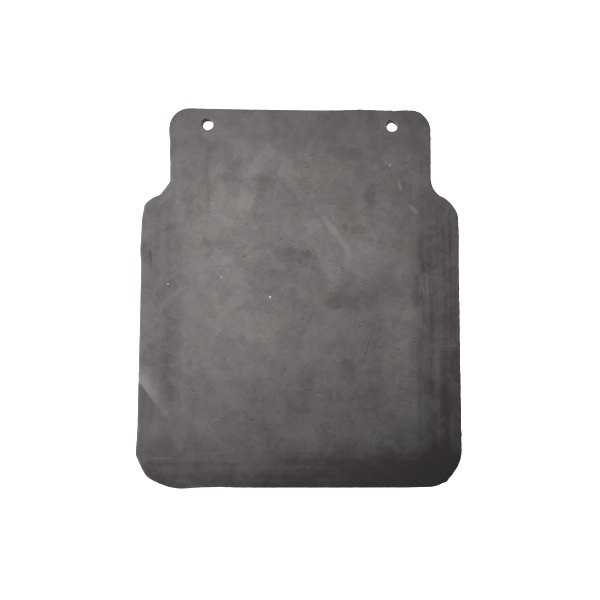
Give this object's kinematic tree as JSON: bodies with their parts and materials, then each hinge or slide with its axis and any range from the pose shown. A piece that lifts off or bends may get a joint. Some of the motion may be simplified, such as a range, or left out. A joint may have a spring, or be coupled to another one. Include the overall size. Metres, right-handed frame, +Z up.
{
  "type": "mud flap",
  "caption": "Rubber mud flap that hangs behind a vehicle's wheel from bolts along its narrower neck and flexes below the bracket.",
  "frame": {"origin": "midway between the two bolt holes, on the rear face that seats on the bracket", "axes": "+Z up, +X across the flap, +Y out of the rear face towards the bracket; the front face looks along -Y"},
  "size_m": [0.3, 0.01, 0.36],
  "materials": {
    "rubber": "matte moulded black rubber with grey bloom",
    "textile": "plain-woven cord fabric"
  },
  "bodies": {
    "clamped_neck": {"front_cover_upper": "rubber", "ply_upper": "textile", "rear_cover_upper": "rubber", "front_cover_bend": "rubber", "ply_bend": "textile", "rear_cover_bend": "rubber"},
    "hanging_flap": {"front_cover_lower": "rubber", "ply_lower": "textile", "rear_cover_lower": "rubber"}
  },
  "joints": [
    {"name": "flap_flex", "type": "hinge", "parent": "clamped_neck", "child": "hanging_flap", "pos_m": [0, -0.005, -0.04], "axis": [1, 0, 0], "range_deg": [-60, 45], "stiffness_Nm_per_rad": 0.55, "deforming": ["front_cover_bend", "ply_bend", "rear_cover_bend"]}
  ]
}
